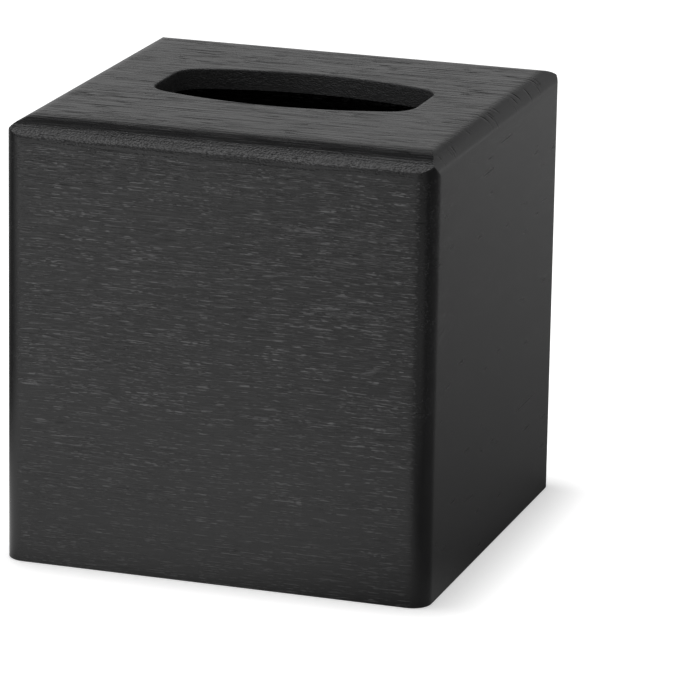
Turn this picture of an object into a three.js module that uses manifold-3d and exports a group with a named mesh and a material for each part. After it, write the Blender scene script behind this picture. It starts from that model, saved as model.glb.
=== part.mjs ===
// A square tissue box cover of stained wood: four mitred wall boards under a slotted top board.
// Millimetres, +Z up. The origin is on the ground under the middle of the open foot,
// and the front board faces -Y.

import * as THREE from 'three';
import { mergeVertices } from 'three/addons/utils/BufferGeometryUtils.js';
import Module from 'manifold-3d';

const wasm = await Module();
wasm.setup();

// The finished cover
const width = 139.7;
const depth = 139.7;
const height = 142.24;

// The boards
const wallThickness = 8;
const topThickness = 6.6;

// Round-overs: the four upright corners, and the left and right edges of the top
const cornerRadius = 6.35;
const endRadius = 6.35;

// The moulded front and back edges of the top: a shallow arc that leaves the top face smoothly
// and meets the upright face at a crisp arris
const mouldingRun = 10.5;
const mouldingDrop = 4.4;

// The slot the tissues come through: bowed long sides, straight short ends, rounded corners,
// and a lightly eased rim. It is set back a little from the middle of the top.
const slotLength = 86.6;
const slotWidth = 47.2;
const slotBow = 8.8;
const slotCornerRadius = 9.3;
const slotSetback = 4;
const rimEase = 0.35;

// Blanks and cutters run this far past the finished faces
const overrun = 5;

// Fineness of the arcs, in segments
const quarterArcSegments = 20;
const bowSegments = 24;

// Stained wood: the long-grain boards and the top take the light a little differently
const stain = { color: 0x1e1f20, roughness: 0.35, metalness: 0 };
const topStain = { color: 0x222223, roughness: 0.3, metalness: 0 };

const halfWidth = width / 2;
const halfDepth = depth / 2;
const wallHeight = height - topThickness;

const alongX = new THREE.Matrix4().makeBasis(
  new THREE.Vector3(0, 1, 0), new THREE.Vector3(0, 0, 1), new THREE.Vector3(1, 0, 0));
const alongY = new THREE.Matrix4().makeBasis(
  new THREE.Vector3(1, 0, 0), new THREE.Vector3(0, 0, 1), new THREE.Vector3(0, -1, 0));
const alongZ = new THREE.Matrix4();

// Points of an arc about (cx, cy), both ends included
function arc(cx, cy, radius, startAngle, endAngle, segments) {
  const points = [];
  for (let i = 0; i <= segments; i += 1) {
    const angle = startAngle + ((endAngle - startAngle) * i) / segments;
    points.push(new THREE.Vector2(cx + radius * Math.cos(angle), cy + radius * Math.sin(angle)));
  }
  return points;
}

function toSolid(geometry) {
  geometry.deleteAttribute('normal');
  geometry.deleteAttribute('uv');
  const merged = mergeVertices(geometry);
  return new wasm.Manifold(new wasm.Mesh({
    numProp: 3,
    vertProperties: new Float32Array(merged.attributes.position.array),
    triVerts: new Uint32Array(merged.index.array),
  }));
}

function toGeometry(solid) {
  const mesh = solid.getMesh();
  const geometry = new THREE.BufferGeometry();
  geometry.setAttribute('position', new THREE.BufferAttribute(mesh.vertProperties, mesh.numProp));
  geometry.setIndex(new THREE.BufferAttribute(mesh.triVerts, 1));
  const faceted = geometry.toNonIndexed();
  faceted.computeVertexNormals();
  return faceted;
}

// A prism whose section is drawn from the points, between two places on the axis it runs along
function prism(points, from, to, direction = alongZ) {
  const geometry = new THREE.ExtrudeGeometry(new THREE.Shape(points), {
    depth: to - from,
    bevelEnabled: false,
  });
  geometry.translate(0, 0, from);
  geometry.applyMatrix4(direction);
  return toSolid(geometry);
}

// The cover's outline seen from above: a rectangle with its four corners rounded over
function planOutline() {
  const x = halfWidth - cornerRadius;
  const y = halfDepth - cornerRadius;
  const quarter = Math.PI / 2;
  return [
    ...arc(x, y, cornerRadius, 0, quarter, quarterArcSegments),
    ...arc(-x, y, cornerRadius, quarter, 2 * quarter, quarterArcSegments),
    ...arc(-x, -y, cornerRadius, 2 * quarter, 3 * quarter, quarterArcSegments),
    ...arc(x, -y, cornerRadius, 3 * quarter, 4 * quarter, quarterArcSegments),
  ];
}

// Seen from the front: the left and right edges of the top are quarter rounds
function frontOutline() {
  const x = halfWidth - endRadius;
  const z = height - endRadius;
  return [
    new THREE.Vector2(-halfWidth, -overrun),
    new THREE.Vector2(halfWidth, -overrun),
    ...arc(x, z, endRadius, 0, Math.PI / 2, quarterArcSegments),
    ...arc(-x, z, endRadius, Math.PI / 2, Math.PI, quarterArcSegments),
  ];
}

// Seen from the side: the front and back edges of the top are shallow arcs with a crisp lower arris
function sideOutline() {
  const radius = (mouldingRun ** 2 + mouldingDrop ** 2) / (2 * mouldingDrop);
  const sweep = Math.asin(mouldingRun / radius);
  const y = halfDepth - mouldingRun;
  const z = height - radius;
  const upright = Math.PI / 2;
  return [
    new THREE.Vector2(-halfDepth, -overrun),
    new THREE.Vector2(halfDepth, -overrun),
    ...arc(y, z, radius, upright - sweep, upright, quarterArcSegments),
    ...arc(-y, z, radius, upright, upright + sweep, quarterArcSegments),
  ];
}

// The slot seen from above, about its own centre
function slotOutline() {
  const halfLength = slotLength / 2;
  const bowRadius = (halfLength ** 2 + slotBow ** 2) / (2 * slotBow);
  const bowCentre = slotWidth / 2 - bowRadius;
  const cornerX = halfLength - slotCornerRadius;
  const cornerY = bowCentre + Math.sqrt((bowRadius - slotCornerRadius) ** 2 - cornerX ** 2);
  const meet = Math.atan2(cornerY - bowCentre, cornerX);
  const back = [
    ...arc(cornerX, cornerY, slotCornerRadius, 0, meet, quarterArcSegments),
    ...arc(0, bowCentre, bowRadius, meet, Math.PI - meet, bowSegments).slice(1, -1),
    ...arc(-cornerX, cornerY, slotCornerRadius, Math.PI - meet, Math.PI, quarterArcSegments),
  ];
  const front = back.map((point) => new THREE.Vector2(-point.x, -point.y));
  return [...back, ...front];
}

// What the finished outside leaves of any blank
function outerForm() {
  const plan = prism(planOutline(), 0, height + overrun);
  const front = prism(frontOutline(), -halfDepth - overrun, halfDepth + overrun, alongY);
  const side = prism(sideOutline(), -halfWidth - overrun, halfWidth + overrun, alongX);
  return plan.intersect(front).intersect(side);
}

// The slot's cutter, which flares by the rim's easing where it leaves the top face
function slotCutter() {
  const outline = slotOutline().map((point) => new THREE.Vector2(point.x, point.y + slotSetback));
  const shaft = prism(outline, wallHeight - overrun, height + overrun);
  const flare = new THREE.ExtrudeGeometry(new THREE.Shape(outline), {
    depth: overrun,
    bevelThickness: rimEase,
    bevelSize: rimEase,
    bevelSegments: 1,
  });
  flare.translate(0, 0, height);
  return shaft.add(toSolid(flare));
}

// The corners of a rectangle centred on the origin, from the front left round to the back left
function rectangle(halfX, halfY) {
  return [
    new THREE.Vector2(-halfX, -halfY),
    new THREE.Vector2(halfX, -halfY),
    new THREE.Vector2(halfX, halfY),
    new THREE.Vector2(-halfX, halfY),
  ];
}

// One wall board, mitred at both ends. Side 0 is the front, and the sides go round by the right.
function wallBoard(side, form) {
  const inner = rectangle(halfWidth - wallThickness, halfDepth - wallThickness);
  const outer = rectangle(halfWidth + overrun, halfDepth + overrun);
  const next = (side + 1) % outer.length;
  const blank = prism([outer[side], outer[next], inner[next], inner[side]], 0, wallHeight);
  return blank.intersect(form);
}

// The top board, which lies over all four walls, with its moulded edges and the slot
function topBoard(form) {
  const blank = prism(
    rectangle(halfWidth + overrun, halfDepth + overrun), wallHeight, height + overrun);
  return blank.intersect(form).subtract(slotCutter());
}

function board(name, solid, finish) {
  const mesh = new THREE.Mesh(toGeometry(solid), new THREE.MeshStandardMaterial(finish));
  mesh.name = name;
  return mesh;
}

const form = outerForm();
const walls = new THREE.Group();
['front_panel', 'right_panel', 'back_panel', 'left_panel'].forEach((name, side) => {
  walls.add(board(name, wallBoard(side, form), stain));
});

const cover = new THREE.Group();
cover.add(walls);
cover.add(board('top_panel', topBoard(form), topStain));

export default cover;
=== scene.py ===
"""A square tissue box cover of black stained wood: five boards, a bowed slot and open-grain surfaces."""

import math

import bmesh
import bpy
import numpy as np
from mathutils import Matrix, Vector


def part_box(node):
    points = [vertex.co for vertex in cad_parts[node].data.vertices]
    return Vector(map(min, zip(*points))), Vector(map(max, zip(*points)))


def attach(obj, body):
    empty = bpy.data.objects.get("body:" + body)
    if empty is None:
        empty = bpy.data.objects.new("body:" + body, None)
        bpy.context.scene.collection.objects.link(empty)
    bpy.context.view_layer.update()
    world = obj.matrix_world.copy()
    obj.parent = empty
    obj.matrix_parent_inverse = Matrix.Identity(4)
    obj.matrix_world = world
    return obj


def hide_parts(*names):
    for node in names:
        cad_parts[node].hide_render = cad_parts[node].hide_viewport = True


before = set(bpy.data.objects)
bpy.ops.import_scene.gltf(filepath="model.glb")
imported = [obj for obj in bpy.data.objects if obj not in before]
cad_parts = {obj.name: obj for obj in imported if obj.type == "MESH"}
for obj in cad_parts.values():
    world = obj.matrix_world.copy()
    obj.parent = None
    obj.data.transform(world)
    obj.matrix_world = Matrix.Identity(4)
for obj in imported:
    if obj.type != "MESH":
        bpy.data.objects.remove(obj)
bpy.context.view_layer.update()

MM = 0.001
CM2_PER_M2 = 1e4

# Sizes that come from the frame
top_low, top_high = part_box("top_panel")
front_low, front_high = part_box("front_panel")
HALF_WIDTH = top_high[0]
HALF_DEPTH = top_high[1]
HEIGHT = top_high[2]
SEAM = top_low[2]
WALL = front_high[1] - front_low[1]

# Round-overs, the moulded edge and the slot, as the boards are machined
CORNER_RADIUS = 6.35 * MM
END_RADIUS = 6.35 * MM
MOULDING_RUN = 10.5 * MM
MOULDING_DROP = 4.4 * MM
FRONT_LEAD = 7 * MM
BACK_LEAD = 0.5 * MM
SLOT_LENGTH = 86.6 * MM
SLOT_WIDTH = 47.2 * MM
SLOT_BOW = 8.8 * MM
SLOT_CORNER_RADIUS = 9.3 * MM
SLOT_SETBACK = 4 * MM

# Sanding: how far each arris is eased
ARRIS_EASE = 0.35 * MM
FOOT_EASE = 0.3 * MM
RIM_EASE = 0.35 * MM

# Spacing of the mesh along and across the grain
ALONG_STEP = 1.3 * MM
ACROSS_STEP = 0.25 * MM
ARC_STEPS = 10
BAND_STEPS = 4
CORNER_ROW_DEGREES = np.arange(0, 26, 5)
CORNER_ROW_GAP = 0.2 * MM
MOULDING_STEP = 0.05 * MM
WELD_REACH = 0.002 * MM
SHARP_ANGLE = math.radians(40)


def arc_angles(start, end, steps):
    return np.linspace(math.radians(start), math.radians(end), steps + 1)


def even_steps(start, end, step):
    """Values from start to end, both included, about one step apart."""
    return np.linspace(start, end, max(1, round((end - start) / step)) + 1)


def make_piece(name, points, faces, material, extra=None):
    """A mesh object with smooth faces and sharp arrises. extra holds one float per point by name."""
    mesh = bpy.data.meshes.new(name)
    mesh.from_pydata([tuple(p) for p in points], [], faces)
    for key, values in (extra or {}).items():
        attribute = mesh.attributes.new(key, "FLOAT", "POINT")
        attribute.data.foreach_set("value", np.asarray(values, np.float32))
    mesh.materials.append(material)
    piece = bpy.data.objects.new(name, mesh)
    bpy.context.scene.collection.objects.link(piece)
    return piece


def finish_shading(piece):
    mesh = piece.data
    mesh.polygons.foreach_set("use_smooth", [True] * len(mesh.polygons))
    mesh.set_sharp_from_angle(angle=SHARP_ANGLE)
    mesh.update()


def grid_faces(rows, columns):
    """Quads of a grid of points, stored row by row, that face the viewer when rows run upward."""
    faces = []
    for j in range(rows - 1):
        for i in range(columns - 1):
            a = j * columns + i
            faces.append((a, a + 1, a + columns + 1, a + columns))
    return faces


# Open grain: a pore's sizes, and between which shares of them each pore lies
PORE_DEPTH = 0.10 * MM
PORE_WIDTH = 0.24 * MM
PORE_LENGTH = 2.6 * MM
PORE_SLOPE = 0.02
DEPTH_SHARES = (0.3, 1.0)
WIDTH_SHARES = (0.7, 1.25)
LENGTH_SHARES = (0.3, 1.2)

# How many times longer a long pore is, and how many widths from its middle a groove is worked out
LONG_PORE = 3.5
PORE_REACH = 4

# Bands in which a share of the pores gathers, and how the bands swing along the grain
BAND_COUNT = 14
BANDED_SHARE = 0.45
BAND_SPREAD = 1.6 * MM
BAND_SWING = 3 * MM
BAND_SWING_RUN = 30 * MM

# Over what distance the pores run out towards a mitre, the seam and the top board's edge
MITRE_FADE = 0.8 * CORNER_RADIUS
SEAM_FADE = 0.6 * MM
TOP_EDGE_FADE = 0.8 * MM

# How far before a wall's rounded corner the sanding starts, and over what distance it takes hold
SANDED_LEAD = 1 * MM
SANDED_FADE = 3 * MM


def open_grain(along, across, rng, per_cm2, long_share=0.1, widen=1.0):
    """Depth of the open pores on a grid: short grooves that follow the grain and gather in bands."""
    depth = np.zeros((len(across), len(along)))
    low_s, high_s = along[0], along[-1]
    low_t, high_t = across[0], across[-1]
    area_cm2 = (high_s - low_s) * (high_t - low_t) * CM2_PER_M2
    bands = rng.uniform(low_t, high_t, BAND_COUNT)
    for _ in range(int(area_cm2 * per_cm2)):
        s0 = rng.uniform(low_s, high_s)
        t0 = rng.uniform(low_t, high_t)
        if rng.random() < BANDED_SHARE:
            swing = BAND_SWING * math.sin(s0 / BAND_SWING_RUN)
            t0 = rng.choice(bands) + rng.normal(0, BAND_SPREAD) + swing
        long_one = rng.random() < long_share
        half = PORE_LENGTH * rng.uniform(*LENGTH_SHARES) * (LONG_PORE if long_one else 1)
        width = widen * PORE_WIDTH * rng.uniform(*WIDTH_SHARES)
        deep = PORE_DEPTH * rng.uniform(*DEPTH_SHARES)
        slope = rng.normal(0, PORE_SLOPE)
        i0, i1 = np.searchsorted(along, (s0 - half, s0 + half))
        j0, j1 = np.searchsorted(across, (t0 - PORE_REACH * width, t0 + PORE_REACH * width))
        if i1 <= i0 or j1 <= j0:
            continue
        s = (along[i0:i1] - s0)[None, :]
        t = (across[j0:j1] - t0)[:, None] - slope * s
        groove = deep * np.clip(1 - (s / half) ** 2, 0, 1) * np.exp(-((t / width) ** 2))
        depth[j0:j1, i0:i1] = np.maximum(depth[j0:j1, i0:i1], groove)
    return depth


def wall_panel(name, half_length, reach, turn, material, seed, density):
    """A mitred wall board, made as the front board and turned round the cover by turn quarter turns."""
    rng = np.random.default_rng(seed)
    flat = half_length - CORNER_RADIUS
    run = even_steps(-flat, flat, ALONG_STEP)[1:-1]
    left = arc_angles(225, 270, ARC_STEPS)
    right = arc_angles(270, 315, ARC_STEPS)
    angles = np.concatenate([left, np.full(len(run), math.radians(270)), right])
    centre_x = np.concatenate([np.full(len(left), -flat), run, np.full(len(right), flat)])
    normal_x, normal_y = np.cos(angles), np.sin(angles)
    x = centre_x + CORNER_RADIUS * normal_x
    y = -(reach - CORNER_RADIUS) + CORNER_RADIUS * normal_y
    path = np.concatenate([[0], np.cumsum(np.hypot(np.diff(x), np.diff(y)))])
    path -= path[-1] / 2
    z = np.concatenate([[0], even_steps(FOOT_EASE, SEAM, ACROSS_STEP)])

    depth = open_grain(path, z, rng, per_cm2=density)
    mitre = path[-1]
    fade = np.clip((mitre - np.abs(path)) / MITRE_FADE, 0, 1)
    pore = depth * fade[None, :]
    seam_fade = np.clip((SEAM - z) / SEAM_FADE, 0, 1)
    pore *= seam_fade[:, None]
    inset = pore.copy()
    inset[0] += FOOT_EASE

    columns, rows = len(x), len(z)
    outer = np.stack([
        x[None, :] - normal_x[None, :] * inset,
        y[None, :] - normal_y[None, :] * inset,
        np.repeat(z[:, None], columns, axis=1)], axis=-1).reshape(-1, 3)
    inner_x, inner_y = half_length - WALL, -(reach - WALL)
    inner = [
        (-inner_x, inner_y, 0), (-inner_x, inner_y, SEAM),
        (inner_x, inner_y, SEAM), (inner_x, inner_y, 0)]
    points = np.concatenate([outer, np.array(inner)])
    left_foot, left_top, right_top, right_foot = range(len(outer), len(outer) + 4)
    top_row = [(rows - 1) * columns + i for i in range(columns)]
    foot_row = list(range(columns))
    faces = grid_faces(rows, columns)
    faces.append(top_row + [right_top, left_top])
    faces.append([left_foot, right_foot] + foot_row[::-1])
    faces.append([j * columns for j in range(rows)] + [left_top, left_foot])
    faces.append([(j + 1) * columns - 1 for j in reversed(range(rows))] + [right_foot, right_top])
    faces.append([left_foot, left_top, right_top, right_foot])

    turned = np.array(Matrix.Rotation(math.radians(90 * turn), 3, "Z"))
    points = points @ turned.T
    sanded = np.clip((np.abs(path) - flat + SANDED_LEAD) / SANDED_FADE, 0, 1)
    sanded = np.broadcast_to(sanded, pore.shape)
    marks = {
        "pore": np.append(pore.reshape(-1) / PORE_DEPTH, np.zeros(len(inner))),
        "sanded": np.append(sanded.reshape(-1), np.ones(len(inner))),
    }
    piece = make_piece(name, points, faces, material, marks)
    finish_shading(piece)
    return piece


def moulding_gradient(lead):
    """Insets from the front or back face, and how steeply the moulded edge falls there.

    The arc eases in from the flat over the lead, and the whole is scaled to its full drop.
    """
    radius = (MOULDING_RUN ** 2 + MOULDING_DROP ** 2) / (2 * MOULDING_DROP)
    inset = even_steps(0, MOULDING_RUN + lead, MOULDING_STEP)
    into = MOULDING_RUN - inset
    eased = np.clip(into + lead, 0, None) ** 2 / (4 * lead)
    reach = np.where(into > lead, into, eased)
    gradient = np.tan(np.arcsin(reach / radius))
    total = np.sum((gradient[1:] + gradient[:-1]) / 2 * np.diff(inset))
    return inset, gradient * MOULDING_DROP / total


def moulding_drop(inset, lead):
    """How far the moulded edge lies below the top face, at an inset from the front or back face."""
    places, gradient = moulding_gradient(lead)
    steps = (gradient[1:] + gradient[:-1]) / 2 * np.diff(places)
    fallen = np.append(np.cumsum(steps[::-1])[::-1], 0)
    near = np.clip(1 - inset / ARRIS_EASE, 0, 1)
    return np.interp(inset, places, fallen) + ARRIS_EASE * (1 - np.sqrt(1 - near ** 2))


def moulding_slope(inset, lead):
    places, gradient = moulding_gradient(lead)
    return np.arctan(np.interp(inset, places, gradient))


def slot_outline(step):
    """Points of the slot seen from above, about its own centre, and their outward directions."""
    half = SLOT_LENGTH / 2
    bow_radius = (half ** 2 + SLOT_BOW ** 2) / (2 * SLOT_BOW)
    bow_centre = SLOT_WIDTH / 2 - bow_radius
    corner_x = half - SLOT_CORNER_RADIUS
    corner_y = bow_centre + math.sqrt((bow_radius - SLOT_CORNER_RADIUS) ** 2 - corner_x ** 2)
    meet = math.atan2(corner_y - bow_centre, corner_x)
    end = np.array([[half, y] for y in even_steps(-corner_y, corner_y, step)[:-1]])
    end_out = np.tile([1.0, 0.0], (len(end), 1))
    pieces, outs = [end], [end_out]
    for cx, cy, radius, a, b in (
            (corner_x, corner_y, SLOT_CORNER_RADIUS, 0, meet),
            (0, bow_centre, bow_radius, meet, math.pi - meet),
            (-corner_x, corner_y, SLOT_CORNER_RADIUS, math.pi - meet, math.pi)):
        angle = even_steps(a, b, step / radius)[:-1]
        out = np.stack([np.cos(angle), np.sin(angle)], axis=-1)
        pieces.append(np.array([cx, cy]) + radius * out)
        outs.append(out)
    half_points = np.concatenate(pieces)
    half_outs = np.concatenate(outs)
    return np.concatenate([half_points, -half_points]), np.concatenate([half_outs, -half_outs])


# The slot's cutter: its mesh, how rough the wall is, where that fades, and the rings of the rim
SLOT_STEP = 0.7 * MM
SLOT_RISE_STEP = 0.45 * MM
SLOT_ROUGHNESS = 0.035 * MM
SLOT_ROUGH_FADE = 0.5 * MM
RIM_SHARES = (0.35, 0.65, 0.85, 1.0)
CUTTER_OVERRUN = 3 * MM


def slot_cutter(rng):
    """The solid that the slot is cut with: a slightly rough wall and a rounded rim."""
    outline, outward = slot_outline(SLOT_STEP)
    wall_levels = even_steps(SEAM, HEIGHT - RIM_EASE, SLOT_RISE_STEP)
    levels = [(SEAM - CUTTER_OVERRUN, 0, 0)]
    for z in wall_levels:
        edge = min(z - SEAM, HEIGHT - RIM_EASE - z)
        levels.append((z, 0, min(1, edge / SLOT_ROUGH_FADE)))
    for share in RIM_SHARES:
        flare = RIM_EASE * (1 - math.sqrt(1 - share ** 2))
        levels.append((HEIGHT - RIM_EASE + RIM_EASE * share, flare, 0))
    levels.append((HEIGHT + CUTTER_OVERRUN, RIM_EASE, 0))
    points = []
    for z, flare, rough in levels:
        offset = flare + rough * rng.normal(0, SLOT_ROUGHNESS, len(outline))
        ring = outline + outward * offset[:, None]
        points.append(np.column_stack([ring[:, 0], ring[:, 1] + SLOT_SETBACK, np.full(len(ring), z)]))
    count = len(outline)
    faces = []
    for j in range(len(levels) - 1):
        for i in range(count):
            k = (i + 1) % count
            faces.append((j * count + i, j * count + k, (j + 1) * count + k, (j + 1) * count + i))
    faces.append(list(range(count))[::-1])
    faces.append([(len(levels) - 1) * count + i for i in range(count)])
    return np.concatenate(points), faces


# Where the top board's marks start and how fast they fade, as shares of the moulding's run
GRAIN_START_SHARE = 0.6
GRAIN_FADE_SHARE = 0.4
MOULDED_START_SHARE = 0.55
MOULDED_FADE_SHARE = 0.25

# Sanding of the rounded ends, and how coarse the upright edge below the moulding is
SANDED_GAIN = 2.5
SANDED_BAND_SHARE = 0.4
UPRIGHT_MOULDED = 0.3

# Over what distance the flat's pores give way to the ends' ticks, and how far the grain overruns
TICK_FADE = 1 * MM
GRAIN_MARGIN = 3 * MM


def top_rows():
    """Insets of the rows from the front face to the middle: dense at the arris, then even."""
    corner = CORNER_RADIUS * (1 - np.cos(np.radians(CORNER_ROW_DEGREES)))
    edge = even_steps(corner[-1] + CORNER_ROW_GAP, MOULDING_RUN, ACROSS_STEP)
    flat = even_steps(MOULDING_RUN, HALF_DEPTH, ACROSS_STEP)[1:]
    return np.concatenate([corner, edge, flat])


def top_panel(material, cut_material, seed):
    """The top board: one grid from contour to contour, a band down to the seam, and the slot cut out."""
    rng = np.random.default_rng(seed)
    inset = top_rows()
    back = inset[::-1][1:]
    y = np.concatenate([-HALF_DEPTH + inset, HALF_DEPTH - back])
    drop = np.concatenate([moulding_drop(inset, FRONT_LEAD), moulding_drop(back, BACK_LEAD)])
    slope = np.concatenate([moulding_slope(inset, FRONT_LEAD), moulding_slope(back, BACK_LEAD)])
    inset = np.concatenate([inset, back])
    start = HALF_WIDTH - END_RADIUS
    near = np.clip(inset, 0, CORNER_RADIUS)
    contour = HALF_WIDTH - CORNER_RADIUS + np.sqrt(2 * CORNER_RADIUS * near - near ** 2)
    lower = np.clip(drop, 0, END_RADIUS)
    mitre = start + np.sqrt(2 * END_RADIUS * lower - lower ** 2)
    flat_end = np.minimum(mitre, contour)

    flat_columns = round(2 * HALF_WIDTH / ALONG_STEP)
    share = np.linspace(-1, 1, flat_columns + 1)
    flat_x = flat_end[:, None] * share[None, :]
    first = np.arcsin(np.clip((flat_end - start) / END_RADIUS, -1, 1))
    last = np.arcsin(np.clip((contour - start) / END_RADIUS, -1, 1))
    steps = np.linspace(0, 1, ARC_STEPS + 1)[1:]
    turn = first[:, None] + (last - first)[:, None] * steps[None, :]
    on_round = (contour > mitre)[:, None]
    round_x = np.where(on_round, start + END_RADIUS * np.sin(turn), contour[:, None])
    round_drop = np.where(on_round, END_RADIUS * (1 - np.cos(turn)), drop[:, None])
    x = np.hstack([-round_x[:, ::-1], flat_x, round_x])
    below = np.hstack([round_drop[:, ::-1], np.repeat(drop[:, None], flat_columns + 1, axis=1), round_drop])
    rows, columns = x.shape

    side = np.sign(y)[:, None]
    zeros = np.zeros_like(round_x)
    normal_x = np.hstack([
        np.where(on_round, -np.sin(turn), 0)[:, ::-1], np.zeros_like(flat_x),
        np.where(on_round, np.sin(turn), 0)])
    flat_normal_y = np.repeat(side * np.sin(slope)[:, None], flat_columns + 1, axis=1)
    normal_y = np.hstack([zeros, flat_normal_y, zeros])
    normal_z = np.sqrt(np.clip(1 - normal_x ** 2 - normal_y ** 2, 0, 1))

    along = np.linspace(-HALF_WIDTH - GRAIN_MARGIN, HALF_WIDTH + GRAIN_MARGIN, columns)
    grain = open_grain(along, y, rng, per_cm2=1.5, long_share=0.2)
    ticks = open_grain(along, y, rng, per_cm2=1.6, long_share=0.0, widen=1.5)
    rounded = np.clip((np.abs(x) - start) / TICK_FADE, 0, 1)
    grain = grain * (1 - rounded) + ticks * rounded
    edge = np.minimum(inset[:, None], contour[:, None] - np.abs(x))
    grain *= np.clip(edge / TOP_EDGE_FADE, 0, 1)
    beyond_moulding = inset[:, None] - GRAIN_START_SHARE * MOULDING_RUN
    grain *= np.clip(beyond_moulding / (GRAIN_FADE_SHARE * MOULDING_RUN), 0, 1)
    points = np.stack([
        x - normal_x * grain,
        np.repeat(y[:, None], columns, axis=1) - normal_y * grain,
        HEIGHT - below - normal_z * grain], axis=-1).reshape(-1, 3)
    faces = grid_faces(rows, columns)

    loop = list(range(columns))
    loop += [(j + 1) * columns - 1 for j in range(1, rows)]
    loop += [(rows - 1) * columns + i for i in reversed(range(columns - 1))]
    loop += [j * columns for j in reversed(range(1, rows - 1))]
    all_points = [points]
    above = loop
    count = len(points)
    edge_points = points[loop]
    for k in range(1, BAND_STEPS + 1):
        ring = edge_points.copy()
        ring[:, 2] += (SEAM - ring[:, 2]) * k / BAND_STEPS
        all_points.append(ring)
        now = list(range(count, count + len(loop)))
        count += len(loop)
        for i in range(len(loop)):
            n = (i + 1) % len(loop)
            faces.append((above[i], now[i], now[n], above[n]))
        above = now
    faces.append(above[::-1])
    points = np.concatenate(all_points)
    band = points[grain.size:]
    sanded = np.clip(np.abs(normal_x) * SANDED_GAIN, 0, 1)
    sanded_band = np.clip((np.abs(band[:, 0]) - start) / (SANDED_BAND_SHARE * END_RADIUS), 0, 1)
    within_moulding = MOULDED_START_SHARE * MOULDING_RUN - inset
    moulded = np.clip(within_moulding / (MOULDED_FADE_SHARE * MOULDING_RUN), 0, 1)
    moulded = moulded[:, None] * (1 - sanded)
    marks = {
        "pore": np.append(grain.reshape(-1) / PORE_DEPTH, np.zeros(len(band))),
        "sanded": np.append(sanded.reshape(-1), sanded_band),
        "moulded": np.append(moulded.reshape(-1), UPRIGHT_MOULDED * (1 - sanded_band)),
    }
    piece = make_piece("top_board", points, faces, material, marks)
    weld(piece)

    cutter_points, cutter_faces = slot_cutter(rng)
    cutter = make_piece("slot_cutter", cutter_points, cutter_faces, cut_material)
    cut = piece.modifiers.new("slot", "BOOLEAN")
    cut.operation = "DIFFERENCE"
    cut.solver = "EXACT"
    cut.material_mode = "TRANSFER"
    cut.object = cutter
    apply_modifiers(piece)
    bpy.data.objects.remove(cutter)
    finish_shading(piece)
    return piece


def weld(piece):
    """Merges the points that fall together where a rounded corner ends a row early."""
    work = bmesh.new()
    work.from_mesh(piece.data)
    bmesh.ops.remove_doubles(work, verts=work.verts, dist=WELD_REACH)
    work.to_mesh(piece.data)
    work.free()


def apply_modifiers(piece):
    evaluated = piece.evaluated_get(bpy.context.evaluated_depsgraph_get())
    mesh = bpy.data.meshes.new_from_object(evaluated)
    old = piece.data
    piece.modifiers.clear()
    piece.data = mesh
    bpy.data.meshes.remove(old)


# Materials
class Nodes:
    """Short forms for a node tree."""

    def __init__(self, tree):
        self.tree = tree

    def add(self, kind, inputs=None, **settings):
        node = self.tree.nodes.new(kind)
        for key, value in settings.items():
            setattr(node, key, value)
        for key, value in (inputs or {}).items():
            if isinstance(value, bpy.types.NodeSocket):
                self.tree.links.new(value, node.inputs[key])
            else:
                node.inputs[key].default_value = value
        return node

    def math(self, operation, a, b=0.0, c=0.0):
        return self.add("ShaderNodeMath", {0: a, 1: b, 2: c}, operation=operation).outputs[0]

    def vector(self, operation, a, b=(0, 0, 0)):
        return self.add("ShaderNodeVectorMath", {0: a, 1: b}, operation=operation).outputs[0]

    def ramp(self, value, low, high, to_low=0.0, to_high=1.0):
        node = self.add("ShaderNodeMapRange", {
            "Value": value, "From Min": low, "From Max": high, "To Min": to_low, "To Max": to_high},
            interpolation_type="SMOOTHSTEP")
        return node.outputs["Result"]

    def noise(self, vector, scale, detail=2.0, roughness=0.5):
        node = self.add("ShaderNodeTexNoise", {
            "Vector": vector, "Scale": scale, "Detail": detail, "Roughness": roughness})
        return node.outputs["Fac"]

    def centred(self, value, gain):
        """A noise value made to swing round zero."""
        return self.math("MULTIPLY", self.math("SUBTRACT", value, NOISE_MIDDLE), gain)


# Stain, from the darkest pore to the light stain, and the colour of the painted highlight on fibres and
# glints
DARK = (0.002, 0.002, 0.0021, 1)
LIGHT = (0.011, 0.011, 0.0115, 1)
PAINTED_GLINT_COLOUR = (0.12, 0.12, 0.122, 1)
CUT_LIGHT = (0.045, 0.045, 0.046, 1)
ROUGHNESS = 0.23
IOR = 1.5

# The middle of a noise's values
NOISE_MIDDLE = 0.5

# Slow bends of the grain: counts per metre, and how far it wanders
WANDER_SIZE = 18.0
WANDER = 2 * MM

# Noise of each pattern: the share of its size left along the grain, counts per metre, and detail
BAND_NOISE = (0.07, 130.0, 1.0)
DASH_NOISE = (0.25, 2000.0, 0.0)
ROW_NOISE = (0.03, 4200.0, 0.0)
GLINT_NOISE = (0.04, 4200.0, 0.0)
SPECKLE_NOISE = (0.6, 2500.0, 0.0)
WAVE_NOISE = (0.3, 45.0, 1.0)
FIBRE_STRETCH = 0.045
LINE_DETAIL = (1.0, 0.6)
MOTTLE_NOISE = (60.0, 3.0, 0.6)

# Where in its noise each pattern starts and is full
BAND_RANGE = (0.45, 0.68)
DASH_RANGE = (0.42, 0.58)
ROW_RANGE = (0.52, 0.7)
GLINT_RANGE = (0.56, 0.72)
LINE_RANGE = (0.53, 0.66)
DASH_LEAST = 0.1

# How much grain shows: near the foot, everywhere, in the bands besides, and how far sanding calms it
CALM_BELOW_SHARE = 0.05
FULL_ABOVE_SHARE = 0.7
FOOT_GRAIN = 0.3
EVEN_GRAIN = 0.5
BANDED_GRAIN = 0.3
SANDED_CALM = 0.92

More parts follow.
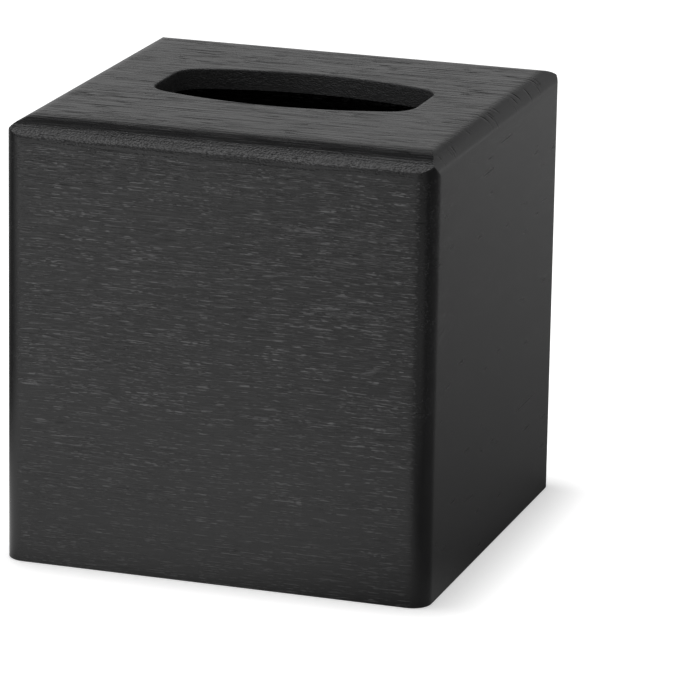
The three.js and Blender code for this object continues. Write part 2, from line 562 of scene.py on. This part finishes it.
# What each pattern does to the shade between DARK and the light stain
MID_SHADE = 0.5
MOTTLE_SHADE = 0.25
CUT_SHADE = 0.3
PORE_SHADE = 0.7
# The painted shade's factor at the left end of the slot's wall, and the painted light's at the right end
PAINTED_SHADE_LEVELS = (0.3, 1.6)

# Painted shade and light on the slot's wall: where on X its darkening towards the left end starts to lift,
# and where the painted light is strongest
PAINTED_SHADE_PLACES = (-40 * MM, 30 * MM)

# How much painted highlight the fibres and glints lay over the stain, standing in for the sheen of raised
# fibres
FIBRE_PAINTED_SHINE = 0.6
GLINT_PAINTED_SHINE = 0.5

# What mottling and pores do to the roughness
MOTTLE_ROUGHNESS = 0.06
PORE_ROUGHNESS = 0.25

# Relief in millimetres
MOULDED_DEPTH = 0.25
LINE_DEPTH = 0.05
SPECKLE_DEPTH = 0.25
WAVE_DEPTH = 0.05


def wood(name, grain, shift, light=LIGHT, roughness=ROUGHNESS, gloss=0.53, calm=0.0, speckle=0.0,
         painted_shade_span=None, painted_shine=2.3, fibre_size=3600.0, fibre_depth=0.06, row_depth=0.36, glint_depth=0.5,
         line_size=1200.0, line_stretch=0.016, lines=0.15):
    """Black stained open-grain wood.

    grain is the axis the grain runs along, 0 for X or 1 for Y, and shift moves the pattern. Sizes are
    counts per metre across the grain, and depths are millimetres. light is the stain's lighter end,
    gloss the specular level, calm how far the surface is sanded smooth, and speckle how coarse a cut
    face is. painted_shade_span holds the places on X where the painted shade starts to lift and where
    the painted light is strongest. painted_shine sets how much the painted highlight on fibres and
    glints shows, and lines how much the long dark grain lines do.
    """
    material = bpy.data.materials.new(name)
    material.use_nodes = True
    material.node_tree.nodes.clear()
    n = Nodes(material.node_tree)
    place = n.add("ShaderNodeTexCoord").outputs["Object"]
    moved = n.vector("ADD", place, shift)
    bends = n.add("ShaderNodeTexNoise", {"Vector": moved, "Scale": WANDER_SIZE, "Detail": 1.0})
    wander = n.vector("SUBTRACT", bends.outputs["Color"], (NOISE_MIDDLE, NOISE_MIDDLE, NOISE_MIDDLE))
    bent = n.vector("ADD", moved, n.vector("MULTIPLY", wander, (WANDER, WANDER, WANDER)))

    def pattern(stretch, size, detail, layering=0.5):
        """Noise drawn out along the grain."""
        factor = [1.0, 1.0, 1.0]
        factor[grain] = stretch
        return n.noise(n.vector("MULTIPLY", bent, factor), size, detail, layering)

    def mark(key):
        return n.add("ShaderNodeAttribute", attribute_name=key).outputs["Fac"]

    moulded = mark("moulded")
    rough_cut = n.math("MAXIMUM", moulded, speckle)
    smooth = n.math("MAXIMUM", n.math("MULTIPLY", mark("sanded"), SANDED_CALM), calm)
    open_face = n.math("SUBTRACT", 1.0, smooth)
    plain_face = n.math("MULTIPLY", open_face, n.math("SUBTRACT", 1.0, moulded))

    rise = n.add("ShaderNodeSeparateXYZ", {0: place}).outputs["Z"]
    band = n.ramp(pattern(*BAND_NOISE), *BAND_RANGE)
    low_down = n.ramp(rise, CALM_BELOW_SHARE * HEIGHT, FULL_ABOVE_SHARE * HEIGHT, FOOT_GRAIN, 1.0)
    lively = n.math("MULTIPLY", low_down, open_face)
    busy = n.math("MULTIPLY", n.math("MULTIPLY_ADD", band, BANDED_GRAIN, EVEN_GRAIN), lively)
    dash = n.ramp(pattern(*DASH_NOISE), *DASH_RANGE, DASH_LEAST, 1.0)
    row = n.ramp(pattern(*ROW_NOISE), *ROW_RANGE)
    row = n.math("MULTIPLY", n.math("MULTIPLY", row, dash), busy)
    glint = n.ramp(pattern(*GLINT_NOISE), *GLINT_RANGE)
    glint = n.math("MULTIPLY", n.math("MULTIPLY", glint, band), n.math("MULTIPLY", dash, lively))
    fibre = n.math("MULTIPLY", n.centred(pattern(FIBRE_STRETCH, fibre_size, 0.0), 1.0), busy)
    line = n.ramp(pattern(line_stretch, line_size, *LINE_DETAIL), *LINE_RANGE)
    line = n.math("MULTIPLY", n.math("MULTIPLY", line, lines), plain_face)
    speckles = n.math("MULTIPLY", n.centred(pattern(*SPECKLE_NOISE), 1.0), rough_cut)
    mottle = n.noise(place, *MOTTLE_NOISE)
    wave = pattern(*WAVE_NOISE)

    dark = n.math("MINIMUM", n.math("MAXIMUM", line, mark("pore")), 1.0)
    shade = n.math("ADD", MID_SHADE, n.centred(mottle, MOTTLE_SHADE))
    shade = n.math("ADD", shade, fibre)
    shade = n.math("ADD", shade, n.math("MULTIPLY", rough_cut, CUT_SHADE))
    shade = n.math("MULTIPLY", shade, n.math("SUBTRACT", 1.0, n.math("MULTIPLY", dark, PORE_SHADE)))
    # Painted shade and light: the slot's wall is darker towards its left end and lighter towards its right
    # end
    if painted_shade_span:
        across = n.add("ShaderNodeSeparateXYZ", {0: place}).outputs["X"]
        shade = n.math("MULTIPLY", shade, n.ramp(across, *painted_shade_span, *PAINTED_SHADE_LEVELS))
    stain = n.add("ShaderNodeMix", {0: shade, 6: DARK, 7: light}, data_type="RGBA").outputs[2]
    # Painted highlight: fibres, rows and glints lighten the colour towards a near grey in place of the sheen
    # they catch; their relief further down is bump
    painted_glint = n.math("MULTIPLY_ADD", glint, GLINT_PAINTED_SHINE, n.math("MULTIPLY_ADD", fibre, FIBRE_PAINTED_SHINE, row))
    painted_glint = n.math("MULTIPLY", painted_glint, n.math("SUBTRACT", 1.0, dark))
    painted_glint = n.math("MULTIPLY", painted_glint, painted_shine)
    base = n.add("ShaderNodeMix", {0: painted_glint, 6: stain, 7: PAINTED_GLINT_COLOUR}, data_type="RGBA").outputs[2]

    rough = n.math("ADD", roughness, n.centred(mottle, MOTTLE_ROUGHNESS))
    rough = n.math("ADD", rough, n.math("MULTIPLY", dark, PORE_ROUGHNESS))
    relief = n.math("ADD", fibre_depth, n.math("MULTIPLY", moulded, MOULDED_DEPTH))
    height = n.math("MULTIPLY", fibre, relief)
    reliefs = ((row, row_depth), (glint, glint_depth), (line, -LINE_DEPTH),
               (speckles, SPECKLE_DEPTH), (wave, WAVE_DEPTH))
    for part, depth in reliefs:
        height = n.math("ADD", height, n.math("MULTIPLY", part, depth))
    bump = n.add("ShaderNodeBump", {"Height": height, "Strength": 1.0, "Distance": MM}).outputs[0]
    shader = n.add("ShaderNodeBsdfPrincipled", {
        "Base Color": base, "Roughness": rough, "Normal": bump, "IOR": IOR, "Specular IOR Level": gloss})
    n.add("ShaderNodeOutputMaterial", {"Surface": shader.outputs[0]})
    return material


TOP_WOOD = wood("top_wood", 0, (0.31, 0.12, 0.05), gloss=0.51, painted_shine=0.0,
                fibre_size=1200.0, fibre_depth=0.13, row_depth=0.0, glint_depth=0.0,
                line_size=1100.0, line_stretch=0.06, lines=0.45)
# The slot's wall, with painted shade towards its left end and painted light towards its right end
CUT_WOOD = wood("cut_wood", 0, (0.7, 0.4, 0.1), light=CUT_LIGHT, roughness=0.5, gloss=0.25,
                calm=0.8, speckle=1.0, painted_shade_span=PAINTED_SHADE_PLACES)
BOARD_WOODS = [
    wood("front_wood", 0, (0.0, 0.7, 0.2), gloss=0.49),
    wood("right_wood", 1, (0.4, 0.3, 0.6), calm=0.88),
    wood("back_wood", 0, (0.9, 0.1, 0.8), gloss=0.49),
    wood("left_wood", 1, (0.2, 0.5, 0.9), calm=0.75, gloss=0.49),
]

# Random seeds, and pores per square centimetre of the front, right, back and left boards
FIRST_WALL_SEED = 11
TOP_SEED = 41
PORES = (0.5, 0.3, 0.8, 0.6)

# Each wall's side, half its length, and how far it stands from the middle
WALLS = (("front", HALF_WIDTH, HALF_DEPTH), ("right", HALF_DEPTH, HALF_WIDTH),
         ("back", HALF_WIDTH, HALF_DEPTH), ("left", HALF_DEPTH, HALF_WIDTH))
for turn, (side, half_length, reach) in enumerate(WALLS):
    seed = FIRST_WALL_SEED + turn
    board = wall_panel(side + "_board", half_length, reach, turn, BOARD_WOODS[turn], seed, PORES[turn])
    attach(board, "root")
    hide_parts(side + "_panel")

top = top_panel(TOP_WOOD, CUT_WOOD, TOP_SEED)
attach(top, "root")
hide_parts("top_panel")


# Camera, at the photograph's viewing angle. Angles are radians, the distance is metres, and the lens
# and sensor are millimetres. The aim is moved sideways and up by shares of the distance.
AZIMUTH = 0.32523
ELEVATION = 0.27007
DISTANCE = 1.60165
ROLL = 0.01701
AIM_RIGHT = 0.01057
AIM_UP = -0.00637
LENS = 263.46
SENSOR = 36
CLIP_END = 50


def make_camera():
    data = bpy.data.cameras.new("camera")
    data.sensor_width = SENSOR
    data.lens = LENS
    data.clip_end = CLIP_END
    camera = bpy.data.objects.new("camera", data)
    bpy.context.scene.collection.objects.link(camera)
    back = Vector((math.sin(AZIMUTH) * math.cos(ELEVATION), -math.cos(AZIMUTH) * math.cos(ELEVATION),
                   math.sin(ELEVATION)))
    forward = -back
    right = forward.cross(Vector((0, 0, 1))).normalized()
    up = right.cross(forward)
    forward = (forward + right * AIM_RIGHT + up * AIM_UP).normalized()
    right = forward.cross(Vector((0, 0, 1))).normalized()
    up = right.cross(forward)
    rolled_right = right * math.cos(ROLL) + up * math.sin(ROLL)
    rolled_up = up * math.cos(ROLL) - right * math.sin(ROLL)
    facing = Matrix((rolled_right, rolled_up, -forward)).transposed()
    place = Vector((0, 0, HEIGHT / 2)) + back * DISTANCE
    camera.matrix_world = Matrix.Translation(place) @ facing.to_4x4()
    bpy.context.scene.camera = camera


# Floor and light
FLOOR_HALF = 6.0

# Pools of light on the floor, as the wood mirrors them: centre x and y, radius and soft edge, all in
# metres, then strength
POOLS = (
    (-0.38, -0.68, 0.33, 0.33, 1.74),
    (-0.08, -0.165, 0.15, 0.075, 0.87),
    (-0.70, 0.15, 0.26, 0.36, 0.12),
    (0.35, 0.045, 0.21, 0.24, 0.10),
    (-0.155, 0.83, 0.365, 0.585, 0.43),
    (0.23, -0.415, 0.165, 0.12, 0.52),
    (-0.60, 1.10, 0.50, 0.50, 0.30),
    (0.80, 3.20, 1.90, 0.90, 0.45),
    (0.75, 0.58, 0.25, 0.22, 0.45),
)
FLOOR_DIM = 0.06

# The darker ring where the cover meets the floor, as the wood mirrors it
CONTACT_REACH = 10 * MM
CONTACT_SHADE = 0.43

# The floor's colour, and the glow that the camera sees on it outside the cover
FLOOR_COLOUR = (0.9, 0.9, 0.9, 1)
FLOOR_GLOW = 0.42

# Soft boxes and backdrop, as the wood mirrors them:
# azimuth and half width, low and high elevation, soft edge, all in degrees, then strength
SOFT_BOXES = (
    (-38, 46, 42, 100, 11, 2.47),
    (180, 75, -20, 19.6, 2.4, 0.34),
    (210, 38, -20, 19.6, 2.4, 0.23),
    (95, 30, -10, 60, 30, 0.2),
    (-20, 45, 4, 34, 10, 0.7),
    (65, 50, 4, 60, 16, 0.45),
    (-115, 30, 4, 60, 16, 0.4),
)

# The panel overhead: the elevation of its edge and its soft edge in degrees, then its strength
OVERHEAD = (64.5, 7.5, 2.5)

# The room between the panels as the wood mirrors it, the even light that reaches matt surfaces, and
# the white that the camera sees
ROOM_DIM = 0.04
ROOM_FILL = 0.5
ROOM_SEEN = 1.0

# The key light: place, aim and size in metres, and power in watts
KEY_PLACE = (-0.07, 0, 1.6)
KEY_AIM = (0, 0, 0.05)
KEY_SIZE = 0.3
KEY_POWER = 16


def make_floor():
    mesh = bpy.data.meshes.new("floor")
    half = FLOOR_HALF
    corners = [(-half, -half, 0), (half, -half, 0), (half, half, 0), (-half, half, 0)]
    mesh.from_pydata(corners, [], [(0, 1, 2, 3)])
    floor = bpy.data.objects.new("floor", mesh)
    bpy.context.scene.collection.objects.link(floor)
    material = bpy.data.materials.new("floor")
    material.use_nodes = True
    material.node_tree.nodes.clear()
    n = Nodes(material.node_tree)
    place = n.add("ShaderNodeTexCoord").outputs["Object"]
    total = FLOOR_DIM
    for x, y, radius, edge, strength in POOLS:
        away = n.add("ShaderNodeVectorMath", {0: place, 1: (x, y, 0)}, operation="DISTANCE").outputs["Value"]
        total = n.math("ADD", total, n.ramp(away, radius + edge, max(0, radius - edge), 0.0, strength))

    def beyond(inset):
        """How far a place on the floor lies outside the cover's footprint, made smaller by the inset."""
        away = n.vector("SUBTRACT", n.vector("ABSOLUTE", place), (HALF_WIDTH - inset, HALF_DEPTH - inset, 0))
        away = n.vector("MAXIMUM", away, (0, 0, 0))
        return n.add("ShaderNodeVectorMath", {0: away}, operation="LENGTH").outputs["Value"]

    gap = beyond(0)
    contact = n.math("EXPONENT", n.math("MULTIPLY", gap, -1 / CONTACT_REACH))
    total = n.math("MULTIPLY", total, n.math("SUBTRACT", 1.0, n.math("MULTIPLY", contact, CONTACT_SHADE)))
    path = n.add("ShaderNodeLightPath")
    diffuse = n.add("ShaderNodeBsdfDiffuse", {"Color": FLOOR_COLOUR}).outputs[0]
    outside = n.math("MULTIPLY", n.math("GREATER_THAN", beyond(WALL / 2), 0.0), FLOOR_GLOW)
    glow = n.add("ShaderNodeEmission", {"Strength": outside}).outputs[0]
    seen = n.add("ShaderNodeAddShader", {0: diffuse, 1: glow}).outputs[0]
    pools = n.add("ShaderNodeEmission", {"Strength": total}).outputs[0]
    shown = n.add("ShaderNodeMixShader", {0: path.outputs["Is Camera Ray"], 1: diffuse, 2: seen}).outputs[0]
    out = n.add("ShaderNodeMixShader", {0: path.outputs["Is Glossy Ray"], 1: shown, 2: pools}).outputs[0]
    n.add("ShaderNodeOutputMaterial", {"Surface": out})
    material.cycles.emission_sampling = "NONE"
    mesh.materials.append(material)


def make_world():
    world = bpy.data.worlds.new("studio")
    bpy.context.scene.world = world
    world.use_nodes = True
    world.node_tree.nodes.clear()
    n = Nodes(world.node_tree)
    look = n.add("ShaderNodeTexCoord").outputs["Generated"]
    height = n.add("ShaderNodeSeparateXYZ", {0: look}).outputs["Z"]
    rise = n.math("DEGREES", n.math("ARCSINE", height))
    heading = n.vector("NORMALIZE", n.vector("MULTIPLY", look, (1, 1, 0)))
    total = ROOM_DIM
    for azimuth, half, low, high, edge, strength in SOFT_BOXES:
        facing = (math.sin(math.radians(azimuth)), -math.cos(math.radians(azimuth)), 0)
        aligned = n.add(
            "ShaderNodeVectorMath", {0: heading, 1: facing}, operation="DOT_PRODUCT").outputs["Value"]
        turn = n.math("DEGREES", n.math("ARCCOSINE", n.math("MINIMUM", aligned, 1.0)))
        box = n.ramp(turn, half + edge / 2, half - edge / 2, 0.0, strength)
        box = n.math("MULTIPLY", box, n.ramp(rise, low - edge / 2, low + edge / 2))
        box = n.math("MULTIPLY", box, n.ramp(rise, high + edge / 2, high - edge / 2))
        total = n.math("ADD", total, box)
    start, edge, strength = OVERHEAD
    total = n.math("MAXIMUM", total, n.ramp(rise, start - edge / 2, start + edge / 2, 0.0, strength))
    path = n.add("ShaderNodeLightPath")
    lit = n.add("ShaderNodeMix", {0: path.outputs["Is Glossy Ray"], 2: ROOM_FILL, 3: total}).outputs[0]
    lit = n.add("ShaderNodeMix", {0: path.outputs["Is Camera Ray"], 2: lit, 3: ROOM_SEEN}).outputs[0]
    background = n.add("ShaderNodeBackground", {"Strength": lit}).outputs[0]
    n.add("ShaderNodeOutputWorld", {"Surface": background})


def make_key_light():
    data = bpy.data.lights.new("key", "AREA")
    data.shape = "DISK"
    data.size = KEY_SIZE
    data.energy = KEY_POWER
    light = bpy.data.objects.new("key", data)
    bpy.context.scene.collection.objects.link(light)
    light.location = KEY_PLACE
    aim = Vector(KEY_AIM) - Vector(KEY_PLACE)
    light.rotation_euler = aim.to_track_quat("-Z", "Y").to_euler()
    light.visible_glossy = False


make_camera()
make_floor()
make_world()
make_key_light()
bpy.context.scene.view_settings.view_transform = "Standard"
